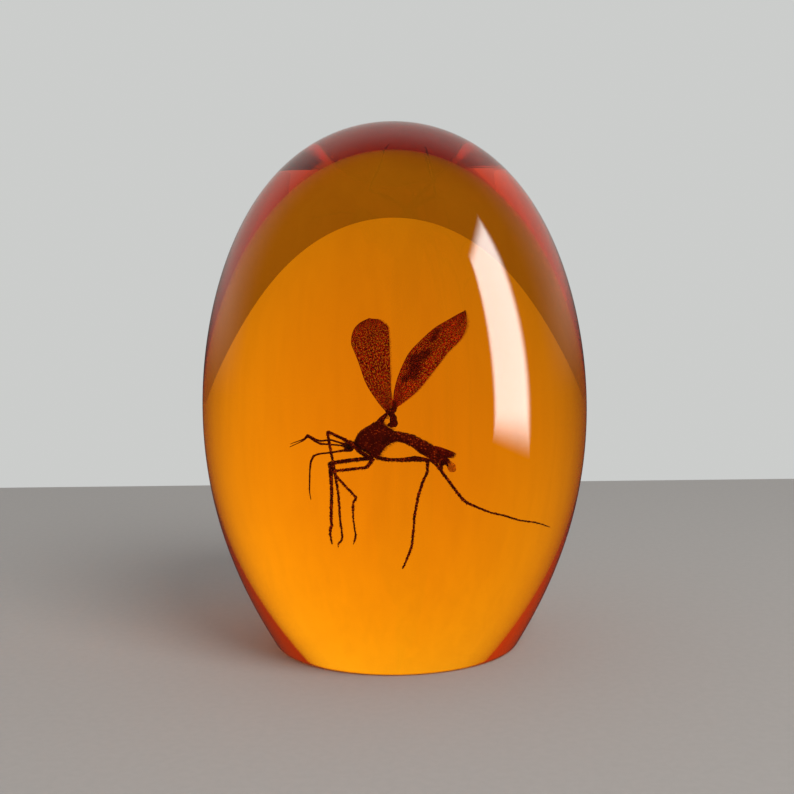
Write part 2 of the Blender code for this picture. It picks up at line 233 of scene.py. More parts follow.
# Wing veins: share of the span and share of the way from the front edge to the back edge
WING_VEINS = (
    ((0.02, 0.3), (0.3, 0.12), (0.6, 0.08), (0.86, 0.05)),
    ((0.02, 0.4), (0.25, 0.24), (0.55, 0.18), (0.8, 0.18), (0.97, 0.22)),
    ((0.12, 0.36), (0.35, 0.34), (0.6, 0.33), (0.82, 0.34), (0.985, 0.4)),
    ((0.6, 0.33), (0.72, 0.27), (0.86, 0.27), (0.985, 0.32)),
    ((0.04, 0.5), (0.35, 0.46), (0.65, 0.46), (0.985, 0.52)),
    ((0.04, 0.58), (0.3, 0.58), (0.6, 0.57), (0.82, 0.6), (0.97, 0.66)),
    ((0.6, 0.57), (0.74, 0.64), (0.86, 0.7), (0.95, 0.78)),
    ((0.05, 0.66), (0.28, 0.7), (0.5, 0.76), (0.7, 0.88), (0.78, 0.98)),
    ((0.28, 0.7), (0.42, 0.82), (0.54, 0.97)),
    ((0.46, 0.19), (0.5, 0.34)),
    ((0.52, 0.34), (0.55, 0.46)),
    ((0.44, 0.46), (0.46, 0.57)),
    ((0.36, 0.58), (0.39, 0.72)),
)

# Dark patches on the narrow wing: share of the span, share of the chord and reach
NARROW_WING_PATCHES = (
    (0.45, 0.25, 0.085), (0.38, 0.55, 0.075), (0.53, 0.5, 0.05), (0.69, 0.16, 0.05),
    (0.63, 0.33, 0.045), (0.3, 0.3, 0.045), (0.02, 0.5, 0.07),
)
BROAD_WING_PATCHES = ((0.9, 0.25, 0.06), (0.02, 0.5, 0.08))

# What makes the shape of each wing
BROAD_WING = (BROAD_WING_FRONT, BROAD_WING_BACK, BROAD_WING_TURN)
NARROW_WING = (NARROW_WING_FRONT, NARROW_WING_BACK, NARROW_WING_TURN)

# Out of the flat, in millimetres: the arch from edge to edge, the ripples along it and slow waves
WING_ARCH = 0.16
WING_RIPPLE = 0.035
WING_WAVES = 0.09

# Hairs, in metres: how deep a root is set in, and how thick each kind is
ROOT_DEPTH = 0.03 * MM
BRISTLE_THICKNESS = 0.02 * MM
FRINGE_THICKNESS = 0.022 * MM
TAIL_HAIR_THICKNESS = 0.032 * MM
TAIL_HAIR_SAG = 0.07 * MM
FRINGE_HAIRS = 190

# Hair tufts of the tail: start, end and spread of each bunch
TAIL_TUFTS = (
    ((3.2, 0.0, 30.3), (5.95, 0.0, 29.38), 0.42, 300),
    ((4.1, 0.0, 29.55), (5.75, 0.0, 29.2), 0.4, 260),
    ((4.1, 0.0, 29.3), (5.35, 0.0, 28.5), 0.46, 220),
    ((4.1, -0.1, 28.9), (4.62, -0.2, 27.72), 0.42, 190),
    ((4.5, 0.1, 28.9), (5.15, 0.05, 28.0), 0.32, 150),
)
TAIL_LOBE = (
    ((5.42, 0.0, 27.85), (0.42, 0.14, 0.6)),
    ((5.2, 0.0, 28.25), (0.34, 0.12, 0.4)),
    ((5.6, 0.0, 27.6), (0.26, 0.1, 0.36)),
)

# Stage, in metres: thickness of the floor and its gap under the foot, the corners of the softbox
# and the share of it that fades at its edges, the lamp, and the point that the camera looks at
FLOOR_THICKNESS = 0.012
FLOOR_GAP = 0.02 * MM
SOFTBOX_CORNERS = ((0.6, -0.4, -0.1), (0.52, -0.06, -0.1), (0.6, -0.4, 0.6), (0.52, -0.06, 0.6))
SOFTBOX_FADE = 0.16
SOFTBOX_COLOUR = (1.0, 0.98, 0.95)
LAMP_PLACE = (0.35, -0.55, 0.6)
LAMP_TARGET = (0.0, -0.1, 0.0)
LAMP_SIZE = 0.5
LAMP_POWER = 4.0
LAMP_COLOUR = (1.0, 0.97, 0.93)
CAMERA_TARGET = (0.353 * MM, 0.0, 36.26 * MM)
CAMERA_ROLL = math.radians(-0.65)

# Plain backdrop: how far a direction points to +Y, +X or +Z where a soft change begins and ends, and
# the light at those two ends. BACKDROP is what rays through the resin see, MIRRORED is what shines
# in its surface, from dim to bright, and BACKDROP_LIGHT is what falls on everything dull.
BACKDROP_BEHIND = (0.3, 0.9)
BACKDROP_ACROSS = (-0.6, 0.6, 0.82, 1.08)
BACKDROP_UPWARDS = (-0.6, 0.5, 0.55, 1.15)
MIRRORED_BEHIND = (0.1, 0.7)
MIRRORED_UPWARDS = (-0.06, 0.22)
MIRRORED_DIM = (0.03, 0.03, 0.028)
MIRRORED_BRIGHT = (0.5, 0.48, 0.45)
BACKDROP_LIGHT = (0.42, 0.42, 0.42)


def length_setting(name, description, default, low):
    """A setting in metres."""
    return bpy.props.FloatProperty(
        name=name,
        description=description,
        default=default,
        min=low,
        unit="LENGTH",
    )


def colour_setting(name, description, default):
    return bpy.props.FloatVectorProperty(
        name=name,
        description=description,
        default=default,
        min=0.0,
        max=1.0,
        size=3,
        subtype="COLOR",
    )


class ResinEggSettings(bpy.types.PropertyGroup):
    """Size and finish of the cast egg."""

    height: length_setting(
        "Height",
        "From the flat foot to the top of the egg",
        CAD_HIGH.z - CAD_LOW.z,
        0.01,
    )
    width: length_setting("Width", "Across the widest part of the egg", CAD_HIGH.x - CAD_LOW.x, 0.01)
    foot_rounding: length_setting(
        "Foot rounding",
        "Radius of the edge around the flat foot",
        1.0 * MM,
        0.0,
    )
    tint: colour_setting(
        "Surface tint",
        "Colour that thin resin gives to light passing through it",
        (1.0, 0.66, 0.34),
    )
    body_tint: colour_setting(
        "Depth tint",
        "Colour that thick resin deepens towards",
        (1.0, 0.868, 0.0),
    )
    depth: bpy.props.FloatProperty(
        name="Depth of colour",
        description="Absorption of the resin per metre",
        default=130.0,
        min=0.0,
    )
    facets: bpy.props.IntProperty(
        name="Turning steps",
        description="Steps of the profile around the egg",
        default=160,
        min=32,
        max=320,
    )


class MosquitoSettings(bpy.types.PropertyGroup):
    """Colours and small sizes of the dried insect."""

    cuticle: colour_setting("Cuticle", "Dark ground colour of the body and legs", (0.12, 0.013, 0.009))
    scales: colour_setting("Scales", "Paler colour of the scattered scales", (0.85, 0.26, 0.06))
    wing: colour_setting("Wing", "Red-brown colour of the scaly wings", (0.54, 0.05, 0.014))
    wing_thickness: length_setting(
        "Wing thickness",
        "Thickness of the wing sheet",
        0.05 * MM,
        0.01 * MM,
    )
    vein_radius: length_setting(
        "Vein radius",
        "Radius of a wing vein at its root",
        0.03 * MM,
        0.01 * MM,
    )
    hair_length: length_setting(
        "Hair length",
        "Length of the bristles on the thorax",
        0.3 * MM,
        0.05 * MM,
    )


class StageSettings(bpy.types.PropertyGroup):
    """Floor, soft light and camera."""

    floor_width: length_setting(
        "Floor width",
        "From the left edge of the floor to the right one",
        0.62,
        0.1,
    )
    floor_front: length_setting(
        "Floor in front",
        "How far the floor reaches in front of the egg",
        0.34,
        0.05,
    )
    floor_back: length_setting("Floor behind", "How far the floor reaches behind the egg", 0.15, 0.05)
    floor_colour: colour_setting("Floor colour", "Colour of the pale floor", (0.47, 0.455, 0.44))
    backdrop_colour: colour_setting(
        "Backdrop colour",
        "Plain pale colour behind the egg",
        (0.6, 0.61, 0.6),
    )
    backdrop_side: bpy.props.FloatProperty(
        name="Backdrop at the sides",
        description="Share of the backdrop's light that is left at its sides",
        default=0.55,
        min=0.0,
        max=1.0,
        subtype="FACTOR",
    )
    softbox_strength: bpy.props.FloatProperty(
        name="Softbox strength",
        description="How bright the softbox shines in the polished resin",
        default=14.0,
        min=0.0,
    )
    camera_distance: length_setting(
        "Camera distance",
        "From the camera to the point that it looks at",
        179.56 * MM,
        0.05,
    )
    camera_height_angle: bpy.props.FloatProperty(
        name="Camera height angle",
        description="How far the camera looks down",
        default=math.radians(5.0),
        subtype="ANGLE",
    )
    camera_field: bpy.props.FloatProperty(
        name="Camera field",
        description="Angle of view of the camera",
        default=math.radians(36.0),
        subtype="ANGLE",
    )


def nothing_selected():
    """Object mode with nothing selected, so that an operator acts on the new piece alone."""
    if bpy.context.mode != "OBJECT":
        bpy.ops.object.mode_set(mode="OBJECT")
    bpy.ops.object.select_all(action="DESELECT")


def only(item):
    nothing_selected()
    item.select_set(True)
    bpy.context.view_layer.objects.active = item


def joined(items, name):
    """The pieces as one object, named."""
    nothing_selected()
    for item in items:
        item.select_set(True)
    bpy.context.view_layer.objects.active = items[0]
    if len(items) > 1:
        bpy.ops.object.join()
    item = bpy.context.active_object
    item.name = name
    return item


def modified(item, kind, **values):
    """A modifier added to the piece, set and applied."""
    only(item)
    bpy.ops.object.modifier_add(type=kind)
    modifier = item.modifiers[-1]
    for key, value in values.items():
        setattr(modifier, key, value)
    bpy.ops.object.modifier_apply(modifier=modifier.name)


def settled(item, name, material, slot, *nodes, smooth_angle=60.0):
    """A finished piece: placed in its mesh, shaded smooth, dressed, and riding on the body."""
    only(item)
    bpy.ops.object.transform_apply()
    bpy.ops.object.shade_smooth_by_angle(angle=math.radians(smooth_angle))
    item.name = name
    item.data.name = name
    item.data.materials.clear()
    item.data.materials.append(material)
    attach(item, "root")
    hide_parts(*nodes)


def insect_piece(item, name, material):
    """A finished piece of the mosquito."""
    settled(item, name, material, "mosquito", "mosquito")


def facing_out(item):
    """Doubles merged and faces turned outwards."""
    only(item)
    bpy.ops.object.mode_set(mode="EDIT")
    bpy.ops.mesh.select_all(action="SELECT")
    bpy.ops.mesh.remove_doubles(threshold=0.0005 * MM)
    bpy.ops.mesh.normals_make_consistent(inside=False)
    bpy.ops.object.mode_set(mode="OBJECT")
    return item


def vertex_chain(points):
    """A chain of edges drawn from point to point, left in edit mode with all of it selected."""
    nothing_selected()
    bpy.ops.mesh.primitive_plane_add(size=MM, location=points[0])
    bpy.ops.object.mode_set(mode="EDIT")
    bpy.ops.mesh.select_all(action="SELECT")
    bpy.ops.mesh.merge(type="CENTER")
    for start, end in zip(points, points[1:]):
        bpy.ops.mesh.extrude_vertices_move(TRANSFORM_OT_translate={"value": Vector(end) - Vector(start)})
    bpy.ops.mesh.select_all(action="SELECT")
    return bpy.context.active_object


def thickness_along(points, share, beading):
    """Radius of a limb at a share of its points, with a swelling where it bends."""
    index = min(int(share), len(points) - 2)
    part = share - index
    radius = points[index][3] * (1.0 - part) + points[index + 1][3] * part
    knot = round(share)
    if 0 < knot < len(points) - 1:
        before = Vector(points[knot][:3]) - Vector(points[knot - 1][:3])
        after = Vector(points[knot + 1][:3]) - Vector(points[knot][:3])
        bend = before.angle(after)
        closeness = max(0.0, 1.0 - abs(share - knot) * 5.0)
        radius *= 1.0 + 0.35 * min(bend, 1.0) * closeness
    place = Vector(points[index][:3]).lerp(Vector(points[index + 1][:3]), part)
    return radius * (1.0 + beading * noise.noise(place * 3.1))


def strand(points, cuts, sides, beading):
    """A round limb: a chain of edges, subdivided and relaxed, then given its thickness as a curve."""
    places = [Vector(point[:3]) * MM for point in points]
    item = vertex_chain(places)
    bpy.ops.mesh.subdivide(number_cuts=cuts)
    bpy.ops.mesh.select_all(action="SELECT")
    bpy.ops.mesh.vertices_smooth(factor=0.5, repeat=3)
    bpy.ops.object.mode_set(mode="OBJECT")
    only(item)
    bpy.ops.object.transform_apply()
    bpy.ops.object.convert(target="CURVE")
    item = bpy.context.active_object
    spline = item.data.splines[0]
    knots = list(spline.points)
    if (knots[0].co.xyz - places[0]).length > (knots[-1].co.xyz - places[0]).length:
        knots.reverse()
    for number, knot in enumerate(knots):
        knot.radius = thickness_along(points, number / (cuts + 1), beading)
    item.data.dimensions = "3D"
    item.data.bevel_depth = MM
    item.data.bevel_resolution = (sides - 4) // 2
    item.data.use_fill_caps = True
    bpy.ops.object.convert(target="MESH")
    return facing_out(bpy.context.active_object)


def rounded_mass(centre, half_sizes):
    """A ball stretched to its half sizes."""
    nothing_selected()
    place = Vector(centre) * MM
    bpy.ops.mesh.primitive_uv_sphere_add(segments=32, ring_count=20, radius=MM, location=place)
    bpy.ops.transform.resize(value=half_sizes)
    item = bpy.context.active_object
    bpy.ops.object.transform_apply()
    return item


def trunk(sections, sides):
    """A body extruded from section to section, each with its back, belly and half width."""
    nothing_selected()
    first = sections[0]
    centre = Vector((first[0], 0.0, (first[1] + first[2]) / 2)) * MM
    bpy.ops.mesh.primitive_circle_add(
        vertices=sides,
        radius=MM,
        fill_type="NGON",
        location=centre,
        rotation=(0.0, math.pi / 2, 0.0),
    )
    bpy.ops.object.mode_set(mode="EDIT")
    bpy.ops.mesh.select_all(action="SELECT")
    height = (first[1] - first[2]) / 2
    bpy.ops.transform.resize(value=(1.0, first[3], height), center_override=centre)
    for before, after in zip(sections, sections[1:]):
        new_centre = Vector((after[0], 0.0, (after[1] + after[2]) / 2)) * MM
        bpy.ops.mesh.extrude_region_move(TRANSFORM_OT_translate={"value": new_centre - centre})
        new_height = (after[1] - after[2]) / 2
        stretch = (1.0, after[3] / before[3], new_height / height)
        bpy.ops.transform.resize(value=stretch, center_override=new_centre)
        centre = new_centre
        height = new_height
    bpy.ops.object.mode_set(mode="OBJECT")
    bpy.ops.object.transform_apply()
    return facing_out(bpy.context.active_object)


def grown_together(items, name, voxel, smoothing):
    """Overlapping masses turned into one smooth skin, on a grid in millimetres."""
    item = joined(items, name)
    modified(item, "REMESH", mode="VOXEL", voxel_size=voxel * MM, adaptivity=0.0)
    modified(item, "SMOOTH", factor=0.5, iterations=smoothing)
    return item


def roughened(item, size, strength, level=0.5):
    """Grain of a size and a strength, both in millimetres, pushed into the surface."""
    texture = bpy.data.textures.new(item.name + " grain", "CLOUDS")
    texture.noise_scale = size * MM
    texture.noise_depth = 2
    modified(
        item,
        "DISPLACE",
        texture=texture,
        texture_coords="LOCAL",
        strength=strength * MM,
        mid_level=level,
    )


def hair_shape():
    """One bristle, a metre long and thick at the root, which every bristle is a copy of."""
    nothing_selected()
    bpy.ops.mesh.primitive_cone_add(
        vertices=4,
        radius1=1.0,
        radius2=0.55,
        depth=0.5,
        location=(0.0, 0.0, 0.25),
    )
    bpy.ops.object.mode_set(mode="EDIT")
    bpy.ops.mesh.select_all(action="DESELECT")
    bpy.ops.object.mode_set(mode="OBJECT")
    item = bpy.context.active_object
    for face in item.data.polygons:
        face.select = face.normal.z > 0.9
    bpy.ops.object.mode_set(mode="EDIT")
    bpy.ops.mesh.extrude_region_move(TRANSFORM_OT_translate={"value": (0.0, 0.0, 0.5)})
    bpy.ops.transform.resize(value=(0.2, 0.2, 1.0))
    bpy.ops.object.mode_set(mode="OBJECT")
    bpy.ops.object.transform_apply()
    return item


def hair_coat(name, places):
    """Copies of one bristle at each place: root, direction with length, thickness and bend."""
    pattern = hair_shape()
    shape = pattern.data
    coat = bmesh.new()
    for root, direction, thickness, bend in places:
        length = direction.length
        turn = direction.to_track_quat("Z", "X").to_matrix()
        first = len(coat.verts)
        coat.from_mesh(shape)
        coat.verts.ensure_lookup_table()
        for vertex in coat.verts[first:]:
            rise = vertex.co.z
            local = Vector((vertex.co.x * thickness, vertex.co.y * thickness, rise * length))
            vertex.co = root + turn @ local + bend * rise * rise
    mesh = bpy.data.meshes.new(name)
    coat.to_mesh(mesh)
    coat.free()
    bpy.data.objects.remove(pattern)
    item = bpy.data.objects.new(name, mesh)
    bpy.context.scene.collection.objects.link(item)
    return item


def scattered(number, salt):
    """A repeatable value between 0 and 1 for each number."""
    return 0.5 + 0.5 * noise.cell(Vector((number * 1.618 + 0.37, salt * 7.31 + 0.11, 0.5)))


def smooth_line(points, share):
    """A point on the smooth line through the points, at a share of its length in points."""
    place = share * (len(points) - 1)
    index = min(int(place), len(points) - 2)
    part = place - index
    before = Vector(points[max(index - 1, 0)])
    start = Vector(points[index])
    end = Vector(points[index + 1])
    after = Vector(points[min(index + 2, len(points) - 1)])
    leaving = (end - before) / 2
    arriving = (after - start) / 2
    return (
        start * (2 * part**3 - 3 * part**2 + 1)
        + leaving * (part**3 - 2 * part**2 + part)
        + end * (3 * part**2 - 2 * part**3)
        + arriving * (part**3 - part**2)
    )


def wing_matrix(turn):
    """Span along local X and chord along local Y, turned upright and then by the tilt, lean and twist."""
    tilt, lean, twist = (math.radians(angle) for angle in turn)
    span = Vector((math.sin(tilt) * math.cos(lean), math.sin(lean), math.cos(tilt) * math.cos(lean)))
    flat_chord = Vector((math.cos(tilt), 0.0, -math.sin(tilt)))
    out = span.cross(flat_chord)
    chord = flat_chord * math.cos(twist) + out * math.sin(twist)
    axes = Matrix((span, chord, span.cross(chord))).transposed().to_4x4()
    return Matrix.Translation(Vector(WING_ROOT) * MM) @ axes


def wing_place(wing, along, across):
    """A point of a wing at shares of its span and chord, with its slight arch and ripples."""
    front, back, turn = wing
    flat = smooth_line(front, along).lerp(smooth_line(back, along), across)
    arch = WING_ARCH * (1.0 - (2.0 * across - 1.0) ** 2) * min(1.0, along * 3.0)
    ripple = WING_RIPPLE * math.sin(across * 19.0 + along * 2.0) * math.sin(min(along, 0.95) * math.pi)
    waves = WING_WAVES * noise.noise(Vector((flat.x * 0.35, flat.y * 0.5, turn[0]))) * along
    return wing_matrix(turn) @ (Vector((flat.x, flat.y, arch + ripple + waves)) * MM)


def wing_sheet(name, wing, patches, thickness):
    """A thin wing on a grid that follows its two edges, with its dark patches kept as an attribute."""
    nothing_selected()
    bpy.ops.mesh.primitive_grid_add(x_subdivisions=90, y_subdivisions=22, size=1.0)
    item = bpy.context.active_object
    mesh = item.data
    patch = mesh.attributes.new("patch", "FLOAT", "POINT")
    for vertex in mesh.vertices:
        along = vertex.co.x + 0.5
        across = vertex.co.y + 0.5
        darkness = 0.0
        for patch_along, patch_across, reach in patches:
            gap = Vector((along - patch_along, (across - patch_across) * 0.3))
            darkness += math.exp(-((gap.length / reach) ** 2))
        edge = min(across, 1.0 - across, (1.0 - along) * 3.0)
        patch.data[vertex.index].value = min(1.0, darkness + max(0.0, 0.2 - edge * 5.0))
        vertex.co = wing_place(wing, along, across)
    facing_out(item)
    modified(item, "SOLIDIFY", thickness=thickness, offset=0.0, use_even_offset=False)
    item.name = name
    return item


def vein_net(wing, radius):
    """Every vein of one wing as a thin round rib that lies on the sheet."""
    ribs = []
    for line in WING_VEINS:
        points = []
        steps = 6 * (len(line) - 1)
        for step in range(steps + 1):
            along, across = smooth_line(line, step / steps)
            place = wing_place(wing, along, across) / MM
            points.append((*place, radius / MM * (1.0 - 0.55 * along)))
        ribs.append(strand(points, cuts=1, sides=6, beading=0.1))
    rim = []
    for edge in (0.0, 1.0):
        for step in range(31):
            along = step / 30 if edge == 0.0 else 1.0 - step / 30
            place = wing_place(wing, along, edge) / MM
            if not rim or (place - Vector(rim[-1][:3])).length > 0.05:
                rim.append((*place, radius / MM * (0.9 - 0.4 * edge)))
    ribs.append(strand(rim, cuts=1, sides=6, beading=0.15))
    return ribs


def wing_fringe(wing, salt):
    """Short scales that stand out from the back edge and the tip of a wing."""
    places = []
    for number in range(FRINGE_HAIRS):
        along = 0.1 + 0.89 * number / FRINGE_HAIRS
        root = wing_place(wing, along, 1.0)
        inner = wing_place(wing, along, 0.94)
        tipwards = wing_place(wing, min(along + 0.02, 1.0), 1.0) - root
        out = (root - inner).normalized() + tipwards.normalized() * 0.7
        length = (0.2 + 0.2 * scattered(number, salt)) * MM
        places.append((root - out * ROOT_DEPTH, out.normalized() * length, FRINGE_THICKNESS, Vector()))
    return places


def added(tree, kind, **values):
    """A node with its settings, and its inputs by name."""
    node = tree.nodes.new(kind)
    for key, value in values.items():
        if key in node.inputs:
            node.inputs[key].default_value = value
        else:
            setattr(node, key, value)
    return node


def new_material(name, roughness=0.5, specular=0.5):
    """A material, with its node tree, its shader and a node for its coordinates."""
    material = bpy.data.materials.new(name)
    material.use_nodes = True
    tree = material.node_tree
    shader = tree.nodes["Principled BSDF"]
    shader.inputs["Roughness"].default_value = roughness
    shader.inputs["Specular IOR Level"].default_value = specular
    return material, tree, shader, added(tree, "ShaderNodeTexCoord")


def wired(tree, *links):
    """Links, each from a node's output to a node's input."""
    for source, output, target, entry in links:
        tree.links.new(source.outputs[output], target.inputs[entry])


def rescaled(tree, low, high, to_low=0.0, to_high=1.0, soft=False):
    """A node that turns the values between two levels into those between two others."""
    node = added(tree, "ShaderNodeMapRange", interpolation_type="SMOOTHSTEP" if soft else "LINEAR")
    for key, value in (("From Min", low), ("From Max", high), ("To Min", to_low), ("To Max", to_high)):
        node.inputs[key].default_value = value
    return node


def arithmetic(tree, operation, second=None):
    """A node that works out a value from two others, the second of which can be set here."""
    node = added(tree, "ShaderNodeMath", operation=operation)
    if second is not None:
        node.inputs[1].default_value = second
    return node


def colour_of(values):
    return (values[0], values[1], values[2], 1.0)


def shaded(colour, share):
    return [part * share for part in colour]


def colour_mix(tree, first=None, second=None, **values):
    """A node that mixes two colours, each of which can be set here."""
    node = added(tree, "ShaderNodeMix", data_type="RGBA", **values)
    for entry, value in ((6, first), (7, second)):
        if value is not None:
            node.inputs[entry].default_value = colour_of(value)
    return node


def ramp(tree, *stops):
    """A colour ramp with its stops: position and colour or value."""
    node = tree.nodes.new("ShaderNodeValToRGB")
    elements = node.color_ramp.elements
    while len(elements) > 1:
        elements.remove(elements[-1])
    for number, (position, value) in enumerate(stops):
        element = elements[0] if number == 0 else elements.new(position)
        element.position = position
        element.color = colour_of((value,) * 3 if isinstance(value, float) else value)
    return node


def relief_from(tree, source, output, shader, strength, distance):
    """Fine relief on a shader, from the height that a node gives out."""
    bump = added(tree, "ShaderNodeBump", Strength=strength, Distance=distance)
    wired(tree, (source, output, bump, "Height"), (bump, "Normal", shader, "Normal"))


def dried_scales():
    """A shader group that scatters small paler scales over a dark ground, with their relief."""
    name = "dried scales"
    if name in bpy.data.node_groups:
        return bpy.data.node_groups[name]
    group = bpy.data.node_groups.new(name, "ShaderNodeTree")
    sockets = (
        ("Vector", "INPUT", "Vector"),
        ("Ground", "INPUT", "Color"),
        ("Scales", "INPUT", "Color"),
        ("Size", "INPUT", "Float"),
        ("Cover", "INPUT", "Float"),
        ("Colour", "OUTPUT", "Color"),
        ("Height", "OUTPUT", "Float"),
        ("Mask", "OUTPUT", "Float"),
    )
    for key, direction, kind in sockets:
        group.interface.new_socket(key, in_out=direction, socket_type="NodeSocket" + kind)
    start = group.nodes.new("NodeGroupInput")
    end = group.nodes.new("NodeGroupOutput")
    cells = added(group, "ShaderNodeTexVoronoi")
    drift = added(group, "ShaderNodeTexNoise", Detail=3.0)
    coarse = arithmetic(group, "MULTIPLY", 0.12)
    pick = added(group, "ShaderNodeSeparateColor")
    chance = arithmetic(group, "LESS_THAN")
    wander = arithmetic(group, "MULTIPLY")
    share = arithmetic(group, "MULTIPLY", 2.0)
    dot = rescaled(group, 0.55, 0.2)
    mask = arithmetic(group, "MULTIPLY")
    shade = rescaled(group, 0.3, 0.7, 0.6, 1.35)
    ground_mix = colour_mix(group, blend_type="MULTIPLY")
    ground_mix.inputs[0].default_value = 1.0
    mix = colour_mix(group)
    height = arithmetic(group, "SUBTRACT")
    height.inputs[0].default_value = 1.0
    wired(
        group,
        (start, "Vector", cells, "Vector"),
        (start, "Size", cells, "Scale"),
        (start, "Size", coarse, 0),
        (start, "Vector", drift, "Vector"),
        (coarse, 0, drift, "Scale"),
        (cells, "Color", pick, 0),
        (start, "Cover", wander, 0),
        (drift, "Fac", share, 0),
        (share, 0, wander, 1),
        (pick, 0, chance, 0),
        (wander, 0, chance, 1),
        (cells, "Distance", dot, "Value"),
        (dot, "Result", mask, 0),
        (chance, 0, mask, 1),
        (drift, "Fac", shade, "Value"),
        (start, "Ground", ground_mix, 6),
        (shade, "Result", ground_mix, 7),
        (ground_mix, 2, mix, 6),
        (start, "Scales", mix, 7),
        (mask, 0, mix, 0),
        (cells, "Distance", height, 1),
        (mix, 2, end, "Colour"),
        (height, 0, end, "Height"),
        (mask, 0, end, "Mask"),
    )
    return group


def scales_over(tree, ground, scales, size, cover):
    """The group above, with its two colours, the size of its scales and how many there are."""
    group = added(tree, "ShaderNodeGroup", node_tree=dried_scales())
    values = {"Ground": colour_of(ground), "Scales": colour_of(scales), "Size": size, "Cover": cover}
    for key, value in values.items():
        group.inputs[key].default_value = value
    return group


def scaly(name, ground, scales, size, cover, roughness, relief):
    """A dry, dull skin of dark cuticle with scattered paler scales."""
    material, tree, shader, coordinates = new_material(name, specular=0.2)
    group = scales_over(tree, ground, scales, size, cover)
    dullness = rescaled(tree, 0.0, 1.0, roughness, roughness - 0.2)
    wired(
        tree,
        (coordinates, "Object", group, "Vector"),
        (group, "Colour", shader, "Base Color"),
        (group, "Mask", dullness, "Value"),
        (dullness, "Result", shader, "Roughness"),
    )
    relief_from(tree, group, "Height", shader, relief, 0.03 * MM)
    return material


def amber_casting_resin(settings):
    """Clear polished resin: a faint uneven tint, a deep amber absorption and a slightly duller foot."""
    material, tree, shader, coordinates = new_material("amber casting resin")
    shader.inputs["IOR"].default_value = RESIN_IOR
    shader.inputs["Transmission Weight"].default_value = 1.0
    flow = added(tree, "ShaderNodeMapping", Scale=(520.0, 520.0, 60.0))
    swirl = added(tree, "ShaderNodeTexNoise", Scale=1.0, Detail=2.0, Distortion=0.4)
    deeper = [part * factor for part, factor in zip(settings.tint, (0.94, 0.92, 0.86))]
    tint = ramp(tree, (0.3, deeper), (0.62, settings.tint))
    polish = added(tree, "ShaderNodeTexNoise", Scale=140.0, Detail=2.0)
    gloss = rescaled(tree, 0.4, 0.75, 0.0, 0.012)
    level = added(tree, "ShaderNodeSeparateXYZ")
    ground_foot = rescaled(tree, 0.25 * MM, 0.15 * MM, 0.0, 0.45)
    finish = arithmetic(tree, "MAXIMUM")
    depth = colour_of(settings.body_tint)
    absorption = added(tree, "ShaderNodeVolumeAbsorption", Color=depth, Density=settings.depth)
    wired(
        tree,
        (coordinates, "Object", flow, "Vector"),
        (flow, "Vector", swirl, "Vector"),
        (swirl, "Fac", tint, "Fac"),
        (tint, "Color", shader, "Base Color"),
        (coordinates, "Object", polish, "Vector"),
        (polish, "Fac", gloss, "Value"),
        (coordinates, "Object", level, 0),
        (level, "Z", ground_foot, "Value"),
        (gloss, "Result", finish, 0),
        (ground_foot, "Result", finish, 1),
        (finish, 0, shader, "Roughness"),
        (absorption, "Volume", tree.nodes["Material Output"], "Volume"),
    )
    return material


def wing_membrane(settings):
    """A dry red-brown wing sheet, closely stippled with scales and see-through in the gaps between them."""
    material, tree, shader, coordinates = new_material("scaly wing sheet", 0.7, 0.15)
    rows = added(tree, "ShaderNodeMapping", Scale=(WING_SPAN, WING_CHORD, 1.0))
    group = scales_over(tree, settings.wing, shaded(settings.wing, 0.08), 4.8, 0.55)
    patch = added(tree, "ShaderNodeAttribute", attribute_name="patch")
    ragged = added(tree, "ShaderNodeTexNoise", Scale=2.0, Detail=5.0, Roughness=0.7)
    ragged_patch = arithmetic(tree, "MULTIPLY_ADD", 0.9)
    crisp = rescaled(tree, 0.65, 1.6, soft=True)
    dark = colour_mix(tree, second=shaded(settings.wing, 0.22))
    specks = added(tree, "ShaderNodeTexVoronoi", voronoi_dimensions="2D", Scale=4.4)
    gaps = ramp(tree, (0.0, 0.3), (0.26, 0.42), (0.4, 0.97), (1.0, 0.98))
    cover = arithmetic(tree, "MAXIMUM")
    wired(
        tree,
        (coordinates, "UV", rows, "Vector"),
        (rows, "Vector", group, "Vector"),
        (rows, "Vector", specks, "Vector"),
        (rows, "Vector", ragged, "Vector"),
        (patch, "Fac", ragged_patch, 0),
        (ragged, "Fac", ragged_patch, 2),
        (ragged_patch, 0, crisp, "Value"),
        (group, "Colour", dark, 6),
        (crisp, "Result", dark, 0),
        (dark, 2, shader, "Base Color"),
        (specks, "Distance", gaps, "Fac"),
        (gaps, "Color", cover, 0),
        (crisp, "Result", cover, 1),
        (cover, 0, shader, "Alpha"),
    )
    relief_from(tree, group, "Height", shader, 0.5, 0.02 * MM)
    return material


def pale_lobe():
    """A thin, pale amber lobe with darker grain, half see-through."""
    material, tree, shader, coordinates = new_material("pale tail lobe", 0.6, 0.2)
    mottle = added(tree, "ShaderNodeTexNoise", Scale=3200.0, Detail=3.0)
    shades = ramp(tree, (0.35, (0.55, 0.07, 0.015)), (0.65, (0.9, 0.2, 0.04)))
    cover = ramp(tree, (0.35, 0.6), (0.65, 0.35))
    wired(
        tree,
        (coordinates, "Object", mottle, "Vector"),
        (mottle, "Fac", shades, "Fac"),
        (mottle, "Fac", cover, "Fac"),
        (shades, "Color", shader, "Base Color"),
        (cover, "Color", shader, "Alpha"),
    )
    return material


